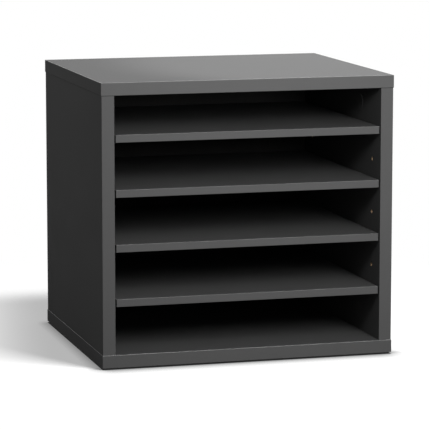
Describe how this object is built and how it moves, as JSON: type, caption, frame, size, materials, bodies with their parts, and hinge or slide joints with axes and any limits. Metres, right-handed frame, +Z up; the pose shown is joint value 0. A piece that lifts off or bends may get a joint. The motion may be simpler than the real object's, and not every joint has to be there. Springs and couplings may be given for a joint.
{
  "type": "literature organizer",
  "caption": "Desktop literature organizer: an open-fronted cabinet of laminated board with loose shelves on pins, dividing it into flat bays for papers and catalogues.",
  "frame": {"origin": "centre of the footprint, on the desk under the foot pads", "axes": "+X to the right across the open front, +Y from the front to the back panel, +Z up"},
  "size_m": [0.355, 0.305, 0.335],
  "materials": {
    "laminate_board": "dark grey matt melamine laminate on particle board",
    "edge_band": "matt PVC edge banding in the board's colour",
    "back_board": "dark grey faced hardboard",
    "shelf_pin": "black moulded plastic",
    "cam_zinc": "die-cast zinc",
    "bolt_steel": "zinc-plated steel",
    "dowel_wood": "fluted beech",
    "cover_film": "self-adhesive cover film in the board's colour",
    "foot_pad": "black foam rubber"
  },
  "bodies": {
    "carcass": {"top_panel": "laminate_board", "bottom_panel": "laminate_board", "left_side_panel": "laminate_board", "right_side_panel": "laminate_board", "back_panel": "back_board", "top_edge_band": "edge_band", "bottom_edge_band": "edge_band", "left_side_edge_band": "edge_band", "right_side_edge_band": "edge_band", "shelf_1_pins": "shelf_pin", "shelf_2_pins": "shelf_pin", "shelf_3_pins": "shelf_pin", "shelf_4_pins": "shelf_pin", "top_cam_locks": "cam_zinc", "top_cam_bolts": "bolt_steel", "top_dowels": "dowel_wood", "bottom_cam_locks": "cam_zinc", "bottom_cam_bolts": "bolt_steel", "bottom_dowels": "dowel_wood", "top_cam_covers": "cover_film", "bottom_cam_covers": "cover_film", "foot_pads": "foot_pad"},
    "shelf_1": {"shelf_1": "laminate_board", "shelf_1_edge_band": "edge_band"},
    "shelf_2": {"shelf_2": "laminate_board", "shelf_2_edge_band": "edge_band"},
    "shelf_3": {"shelf_3": "laminate_board", "shelf_3_edge_band": "edge_band"},
    "shelf_4": {"shelf_4": "laminate_board", "shelf_4_edge_band": "edge_band"}
  },
  "joints": [
    {"name": "shelf_1_slide", "type": "slide", "parent": "carcass", "child": "shelf_1", "axis": [0, -1, 0], "range_m": [0, 0.3]},
    {"name": "shelf_2_slide", "type": "slide", "parent": "carcass", "child": "shelf_2", "axis": [0, -1, 0], "range_m": [0, 0.3]},
    {"name": "shelf_3_slide", "type": "slide", "parent": "carcass", "child": "shelf_3", "axis": [0, -1, 0], "range_m": [0, 0.3]},
    {"name": "shelf_4_slide", "type": "slide", "parent": "carcass", "child": "shelf_4", "axis": [0, -1, 0], "range_m": [0, 0.3]}
  ]
}
